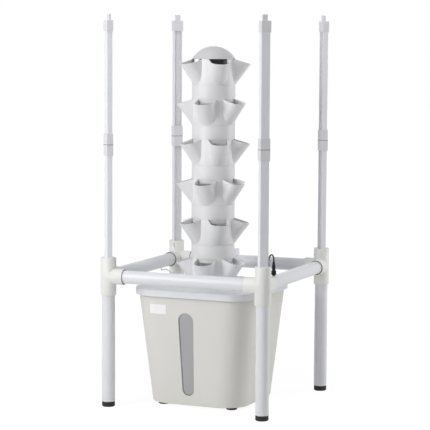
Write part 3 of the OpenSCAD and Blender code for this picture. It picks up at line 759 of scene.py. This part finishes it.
# %% Turn the connector
plug_low, plug_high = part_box("light_lead_plug")
plug_x, plug_y = middle("light_lead_plug")[:2]
plug_h = (plug_high.z - plug_low.z) / mm
rib_count = 5
rib_depth = 0.45
rib_ends = [28, 41]
rib_turn = np.linspace(0, 2 * np.pi * rib_count, 4 * rib_count + 1)
rib_z = np.linspace(*rib_ends, len(rib_turn))
rib_r = np.interp(rib_z, rib_ends, [5.0, 3.0]) + rib_depth * np.cos(rib_turn)
grip_count = 4
grip_depth = 0.4
grip_turn = np.linspace(0, 2 * np.pi * grip_count, 4 * grip_count + 1)
grip_z = np.linspace(5, 13, len(grip_turn))
grip_r = 7.6 + grip_depth * np.cos(grip_turn)
plug_profile = mm * np.vstack([
    [(0, 0), (3.4, 0), (4.2, 0.4), (4.4, 1), (4.4, 3), (7.2, 3), (7.9, 3.6), (8, 4.4)],
    np.column_stack([grip_r, grip_z]),
    [(8, 13.8), (7.6, 14.7), (6.6, 15), (5.4, 15.6), (5.2, 17), (5.2, 27)],
    np.column_stack([rib_r, rib_z]),
    [(2.8, 42), (2.2, plug_h), (0, plug_h)],
])
plug_profile[:, 1] += plug_low.z
connector = grid_piece("barrel_connector", revolve(plug_profile, plug_x, plug_y, 48))
settle(connector, "frame", "lead_black", "light_lead_plug")
print("connector:", len(connector.data.polygons), "faces")

# %% [markdown]
# ## Shader maths in Python
# A finish is a small program of nodes. Wrapping a socket in a class with Python's operators lets the
# maths be written as maths: an expression such as 1 - mask adds its own Math node. Every other node comes
# from one method, which takes the node's type, its settings and its inputs.


# %% The socket wrapper and the node method
class Signal:
    """A value that leaves a node; arithmetic on it adds Math nodes to the same tree."""

    def __init__(self, finish, socket):
        self.finish = finish
        self.socket = socket

    def math(self, operation, first, second):
        return self.finish.add("ShaderNodeMath", {"operation": operation}, {0: first, 1: second})

    def __add__(self, other):
        return self.math("ADD", self, other)

    def __radd__(self, other):
        return self.math("ADD", other, self)

    def __sub__(self, other):
        return self.math("SUBTRACT", self, other)

    def __rsub__(self, other):
        return self.math("SUBTRACT", other, self)

    def __mul__(self, other):
        return self.math("MULTIPLY", self, other)

    def __rmul__(self, other):
        return self.math("MULTIPLY", other, self)

    def __lt__(self, other):
        return self.math("LESS_THAN", self, other)

    def __abs__(self):
        return self.math("ABSOLUTE", self, 0.0)


class Finish:
    """The nodes of a material or a world being written, with one method that adds any node."""

    def __init__(self, owner):
        owner.use_nodes = True
        owner.node_tree.nodes.clear()
        self.owner = owner
        self.tree = owner.node_tree

    def socket(self, sockets, name):
        """A socket by its place in the list, by its identifier or by its name."""
        if isinstance(name, int):
            return sockets[name]
        return next(s for s in sockets if name in (s.identifier, s.name))

    def add(self, kind, settings=None, inputs=None, output=0):
        """Adds a node, sets it up, feeds its inputs and returns one of its outputs."""
        node = self.tree.nodes.new(kind)
        for name, value in (settings or {}).items():
            setattr(node, name, value)
        for name, value in (inputs or {}).items():
            target = self.socket(node.inputs, name)
            if isinstance(value, Signal):
                self.tree.links.new(value.socket, target)
            else:
                target.default_value = value
        return None if output is None else Signal(self, self.socket(node.outputs, output))

    def mix(self, share, first, second):
        """A colour between two others."""
        inputs = {"Factor_Float": share, "A_Color": first, "B_Color": second}
        return self.add("ShaderNodeMix", {"data_type": "RGBA"}, inputs, "Result_Color")

    def done(self, shader, kind="Material"):
        """Joins a shader to the output and hands back the material or world."""
        self.add(f"ShaderNodeOutput{kind}", {}, {"Surface": shader}, None)
        return self.owner


def paint(red, green, blue):
    """A screen colour, 0 to 255, as the linear colour that shaders use."""
    share = np.array([red, green, blue]) / 255
    linear = np.where(share <= 0.04045, share / 12.92, ((share + 0.055) / 1.055)**2.4)
    return (*map(float, linear), 1.0)


print("shader maths ready")

# %% [markdown]
# ## Moulded plastic
# Almost everything here is plastic, and what tells the mouldings apart is small: a fine grain from the
# mould, a slow drift of tone, and patches where the skin is a little glossier. All three come from noise
# in object space, so that they stay put on the piece. Extruded pipe has draw lines along it instead of
# grain, which is the same noise stretched in one direction. A rule can paint shade on a finish along a
# line: painted shade in the joint between two caps, and on the shaded rim of the sunk window.

# %% The plastic recipe
slow_scale = 7.0
slow_part = 0.7
patch_scale = 45.0
patch_swing = 0.12
bump_height = 0.2 * mm
# Painted shade: how dark the shade that a rule paints on a finish is, and how strongly it is mixed in.
painted_shade_tone = 0.25
painted_shade_strength = 0.8


def shade(colour, share):
    """A colour made darker or lighter by a share."""
    return (*(min(1.0, c * share) for c in colour[:3]), 1.0)


def plastic(name, colour, roughness, grain, grain_size=0.6 * mm, drift=0.03, stretch=(1, 1, 1), alpha=1.0,
            shine=0.5, painted_shade_where=None):
    """Noise in object space drives tone, roughness and a fine bump; constants sit on the shader itself. A
    rule may be given that says where shade is painted on the tone."""
    finish = Finish(bpy.data.materials.new(name))
    place = finish.add("ShaderNodeTexCoord", output="Object")
    drawn = finish.add("ShaderNodeMapping", {}, {"Vector": place, "Scale": stretch})
    slow = finish.add("ShaderNodeTexNoise", {}, {"Vector": place, "Scale": slow_scale, "Detail": 3.0})
    patch = finish.add("ShaderNodeTexNoise", {}, {"Vector": place, "Scale": patch_scale, "Detail": 4.0})
    fine = finish.add("ShaderNodeTexNoise", {}, {"Vector": drawn, "Scale": 1 / grain_size, "Detail": 2.0})
    blend = slow * slow_part + fine * (1 - slow_part)
    tone = finish.mix(blend, shade(colour, 1 - drift), shade(colour, 1 + drift))
    if painted_shade_where:
        # Painted shade: where the rule says, the tone is mixed towards a dark copy of the colour.
        tone = finish.mix(painted_shade_strength * painted_shade_where(finish, place), tone, shade(colour, painted_shade_tone))
    bump = finish.add("ShaderNodeBump", {}, {"Strength": grain, "Distance": bump_height, "Height": fine})
    return finish.done(finish.add("ShaderNodeBsdfPrincipled", {}, {
        "Base Color": tone, "Roughness": roughness + patch_swing * (patch - 0.5), "Normal": bump,
        "Alpha": alpha, "Specular IOR Level": shine,
    }))


print("tone drifts over", round(1 / slow_scale, 2), "m and gloss over", round(1 / patch_scale, 3), "m")

# %% Where shade is painted on a finish
cap_joint_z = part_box("upper_caps_front_left")[0].z
seam_shade_edge = 1.6 * mm
seam_shade_core = 0.6 * mm
shade_shift = 1.4 * mm
shade_edge = -2.6 * mm
shade_core = -1.3 * mm


def along_axis(finish, place, axis):
    """One coordinate of a place."""
    return finish.add("ShaderNodeSeparateXYZ", {}, {"Vector": place}, axis)


def fade(finish, value, start, end):
    """A share that runs from 0 at one value to 1 at another."""
    return finish.add("ShaderNodeMapRange", {}, {"Value": value, "From Min": start, "From Max": end})


def cap_seam_shade(finish, place):
    """Painted shade: a thin dark line round the height where the caps of two light bars meet, in place
    of the shadow in their seam.
    """
    height = along_axis(finish, place, "Z")
    return fade(finish, abs(height - cap_joint_z), seam_shade_edge, seam_shade_core)


def sunk_edge(finish, place):
    """The shaded rim of the sunk window, widest at the left and below: everything outside a copy of the
    window's outline that is a little smaller and moved to the upper right."""
    height = along_axis(finish, place, "Z")
    up = fade(finish, height, foot_centre[1], top_centre[1])
    span = top_centre[1] - foot_centre[1]
    across = along_axis(finish, place, "X") - (window_x + shade_shift)
    above = height - (up * span + (foot_centre[1] + shade_shift))
    away = across * across + above * above
    edge = away.math("SQRT", away, 0.0) - (up * (window_top_r - window_foot_r) + window_foot_r)
    return fade(finish, edge, shade_edge, shade_core)


print("caps meet at", round(cap_joint_z, 4), "m")

# %% Mix the plastics
pipe_white = paint(230, 231, 236)
along = {"x": (0.02, 1, 1), "y": (1, 0.02, 1), "z": (1, 1, 0.02)}
pipe_finish = {
    way: plastic(f"pipe along {way}", pipe_white, 0.34, 0.10, 1.2 * mm, 0.015, stretch)
    for way, stretch in along.items()
}
finishes = {
    "pipe": pipe_finish["z"],
    "fitting": plastic("cream fitting", paint(235, 235, 232), 0.42, 0.18, 0.8 * mm),
    "rubber": plastic("black rubber", paint(32, 32, 35), 0.80, 0.5, 0.7 * mm, 0.12),
    # Painted shade: the rings' dark grey stands in for the shadow in the gap at each rail end's socket.
    "ring": plastic("dark ring as painted joint shade", paint(104, 104, 108), 0.6, 0.3, 0.7 * mm, 0.10),
    # Painted shade: the caps get a dark line at their seam.
    "cap": plastic("bar cap", paint(229, 229, 233), 0.48, 0.20, 0.8 * mm, painted_shade_where=cap_seam_shade),
    "bar": plastic("light bar", paint(241, 242, 248), 0.42, 0.10, 1.0 * mm, 0.015, along["z"],
                   shine=0.25),
    "bar_cover": plastic("clear strip", paint(236, 237, 243), 0.30, 0.06, 1.0 * mm, 0.02, along["z"],
                         alpha=0.12),
    "tank": plastic("tank grey", paint(224, 223, 218), 0.48, 0.30, 0.9 * mm),
    # The window gets painted shade on the left and lower side of its sunk rim.
    "window": plastic("smoky window", paint(176, 176, 178), 0.34, 0.03, 1.5 * mm, 0.01, alpha=0.95,
                      painted_shade_where=sunk_edge),
    "lid": plastic("lid white", paint(233, 234, 238), 0.40, 0.20, 0.8 * mm),
    "plate": plastic("blank plate", paint(250, 250, 250), 0.38, 0.05, 1.0 * mm, 0.01),
    "tower": plastic("tower grey", paint(233, 233, 235), 0.44, 0.28, 0.8 * mm),
    # Painted shade: the dome is a darker grey than the tower, in place of the lesser light on its top.
    "dome": plastic("dome grey with painted shade", paint(206, 206, 208), 0.46, 0.34, 0.8 * mm),
    "pump": plastic("pump black", paint(52, 53, 57), 0.5, 0.3, 0.8 * mm, 0.10),
    "impeller": plastic("impeller pale", paint(208, 210, 214), 0.4, 0.15, 0.8 * mm),
    "lead_black": plastic("black lead", paint(18, 18, 20), 0.50, 0.20, 0.5 * mm, 0.10, shine=0.25),
    "lead_grey": plastic("grey lead", paint(204, 204, 208), 0.45, 0.15, 0.5 * mm),
}
print("plastics:", len(finishes))

# %% [markdown]
# ## Lights on their boards, and steel
# A light board is white with a row of small yellow lights. They are real bumps in the construction, and
# they stand a little nearer to the middle of the frame than the board does. So the distance from the
# middle, measured along the diagonal, tells light from board without any picture. The screws and the
# pump's shaft are steel with fine turning marks.

# %% Mix the board and the steel
light_margin = 0.1 * mm
speck_scale = 900.0
mark_scale = 2500.0


def board():
    """Yellow where the diagonal distance (|x| + |y|) / sqrt 2 is less than the board's, else white."""
    finish = Finish(bpy.data.materials.new("light board"))
    place = finish.add("ShaderNodeTexCoord", output="Object")
    across = abs(along_axis(finish, place, "X")) + abs(along_axis(finish, place, "Y"))
    light = across * math.sqrt(0.5) < board_face - light_margin
    speck = finish.add("ShaderNodeTexNoise", {}, {"Vector": place, "Scale": speck_scale, "Detail": 2.0})
    white = finish.mix(speck, paint(232, 230, 240), paint(242, 240, 248))
    yellow = finish.mix(speck, paint(232, 238, 0), paint(246, 248, 16))
    return finish.done(finish.add("ShaderNodeBsdfPrincipled", {}, {
        "Base Color": finish.mix(light, white, yellow), "Roughness": 0.5 - 0.2 * light,
    }))


def steel():
    """Metal with noise drawn out along x, for turning marks."""
    finish = Finish(bpy.data.materials.new("plain steel"))
    place = finish.add("ShaderNodeTexCoord", output="Object")
    drawn = finish.add("ShaderNodeMapping", {}, {"Vector": place, "Scale": (0.05, 1, 1)})
    mark = finish.add("ShaderNodeTexNoise", {}, {"Vector": drawn, "Scale": mark_scale, "Detail": 3.0})
    return finish.done(finish.add("ShaderNodeBsdfPrincipled", {}, {
        "Base Color": finish.mix(mark, paint(188, 190, 194), paint(214, 215, 218)),
        "Metallic": 1.0, "Roughness": 0.28 + 0.2 * mark,
    }))


pole = middle("leg_front_right")
board_rise = 5.4 * mm
board_face = (pole[0] - pole[1]) * math.sqrt(0.5) - board_rise
finishes["led_board"] = board()
finishes["steel"] = steel()
print("boards at", round(board_face, 5), "m along the diagonal")

# %% [markdown]
# ## Dress every node and piece
# The record names a finish slot for each node, so the nodes are dressed from that list. The rails run
# two ways, and their draw lines have to run along them. The pieces made above take the finish of their
# slot. Parts with moulded edges get a small bevel, because a perfectly sharp edge looks drawn.

# %% Assign the finishes
rail_way = {"rail_front": "x", "rail_back": "x", "rail_left": "y", "rail_right": "y"}
own_finish = {
    **{node: pipe_finish[way] for node, way in rail_way.items()},
    **{node: finishes["cap"] for node in nodes if "caps" in node},
    "tank_feet": finishes["lead_black"],
}
for row in frame["record"]["subparts"]:
    dress = nodes[row["node"]].data.materials
    dress.clear()
    dress.append(own_finish.get(row["node"], finishes[row["material_slot"]]))
dressed = {
    light_lead: "lead_black", link_lead: "lead_grey", connector: "lead_black", bowl: "dome", lugs: "dome",
    tank: "tank", window: "window", plate: "plate", lid: "lid", **{tier: "tower" for tier in tiers},
}
for piece, slot in dressed.items():
    piece.data.materials.append(finishes[slot])
print("dressed", len(nodes), "nodes and", len(dressed), "pieces")

# %% Soften the moulded edges
weld_gap = 0.01 * mm
bevel_steps = 3


def soften(node, width, sharp=40):
    """Joins a node's split corners, then rounds every edge that turns by more than an angle."""
    weld = nodes[node].modifiers.new("join corners", "WELD")
    weld.merge_threshold = weld_gap
    bevel = nodes[node].modifiers.new("soft edge", "BEVEL")
    bevel.width = width
    bevel.segments = bevel_steps
    bevel.limit_method = "ANGLE"
    bevel.angle_limit = math.radians(sharp)
    bevel.harden_normals = True


soft_widths = {
    "timer_box": 1.2 * mm, "foot_plugs": 0.8 * mm, "tank_feet": 0.8 * mm, "lower_caps": 1.0 * mm,
}
for corner in ("front_left", "front_right", "back_right", "back_left"):
    soft_widths[f"fitting_{corner}"] = 0.9 * mm
    soft_widths[f"upper_caps_{corner}"] = 1.0 * mm
for node, width in soft_widths.items():
    soften(node, width)
print("softened", len(soft_widths), "nodes")

# %% [markdown]
# ## Floor, light and background
# The object stands in a bright studio on a white floor. One large soft light stands at the front left
# and a weaker one at the back right, so that round pieces run from bright on the left, through a grey
# band right of their middle, to a lighter right edge. A small light reaches the poles from the side, and
# one hangs above. The floor and the world are plain white to the camera and to reflections, but they
# light the object only a little.

# %% Lay the floor and hang the lights
shadow_full = 0.7
shadow_gone = 2.2
near_whiteness = 0.9
glow_strength = 1.05
floor_colour = (0.92, 0.92, 0.92, 1.0)
pure_white = (1.0, 1.0, 1.0, 1.0)


def bright_backdrop(finish, dim, bright, whiteness):
    """Mixes from a dim shader to a bright one for the rays that show a background: those from the camera,
    from gloss and through clear pieces."""
    seen = [
        finish.add("ShaderNodeLightPath", output=ray)
        for ray in ("Is Camera Ray", "Is Glossy Ray", "Is Transmission Ray")
    ]
    share = finish.add("ShaderNodeClamp", {}, {"Value": seen[0] + seen[1] + seen[2]}) * whiteness
    return finish.add("ShaderNodeMixShader", {}, {0: share, 1: dim, 2: bright})


def floor_finish():
    """White floor that keeps a soft part of the object's shadow near it and none far out."""
    finish = Finish(bpy.data.materials.new("studio floor"))
    place = finish.add("ShaderNodeTexCoord", output="Object")
    away = finish.add("ShaderNodeVectorMath", {"operation": "LENGTH"}, {0: place}, "Value")
    far = fade(finish, away, shadow_full, shadow_gone)
    matt = finish.add("ShaderNodeBsdfDiffuse", {}, {"Color": floor_colour})
    glow = finish.add("ShaderNodeEmission", {}, {"Color": pure_white, "Strength": glow_strength})
    whiteness = near_whiteness + (1 - near_whiteness) * far
    return finish.done(bright_backdrop(finish, matt, glow, whiteness))


def softbox(name, turn, distance, height, size, power, aim=(0.0, 0.0, 0.55)):
    """A rectangular light at a turn from the front, looking at a point of the object."""
    light = bpy.data.objects.new(name, bpy.data.lights.new(name, "AREA"))
    light.data.shape = "RECTANGLE"
    light.data.size, light.data.size_y = size
    light.data.energy = power
    turn = math.radians(turn)
    light.location = (distance * math.sin(turn), -distance * math.cos(turn), height)
    way = Vector(aim) - light.location
    light.rotation_euler = way.to_track_quat("-Z", "Y").to_euler()
    scene.collection.objects.link(light)
    return light


floor_turn = np.linspace(0, 2 * np.pi, 96, endpoint=False)
floor_r = np.array([0.0, 1.0, 3.0, 8.0, 20.0])[::-1, None]
floor_points = np.stack(
    [floor_r * np.sin(floor_turn), -floor_r * np.cos(floor_turn), 0 * floor_r * floor_turn], axis=-1)
floor = grid_piece("floor", floor_points)
floor.data.materials.append(floor_finish())

softbox("key light", turn=-29, distance=2.2, height=1.3, size=(1.0, 1.6), power=31)
softbox("fill light", turn=123, distance=1.9, height=1.0, size=(0.8, 1.5), power=15)
softbox("side light", turn=55, distance=2.0, height=2.0, size=(0.8, 0.8), power=6.3, aim=(0.2, -0.2, 1.0))
softbox("top light", turn=0, distance=0.3, height=2.7, size=(1.4, 1.4), power=11)

# %% Set the world and the view
ambient_strength = 0.175
sky = Finish(bpy.data.worlds.new("studio"))
ambient = sky.add("ShaderNodeBackground", {}, {"Color": pure_white, "Strength": ambient_strength})
white = sky.add("ShaderNodeBackground", {}, {"Color": pure_white, "Strength": 1.0})
scene.world = sky.done(bright_backdrop(sky, ambient, white, 1.0), "World")
scene.view_settings.view_transform = "Standard"
print("view:", scene.view_settings.view_transform)
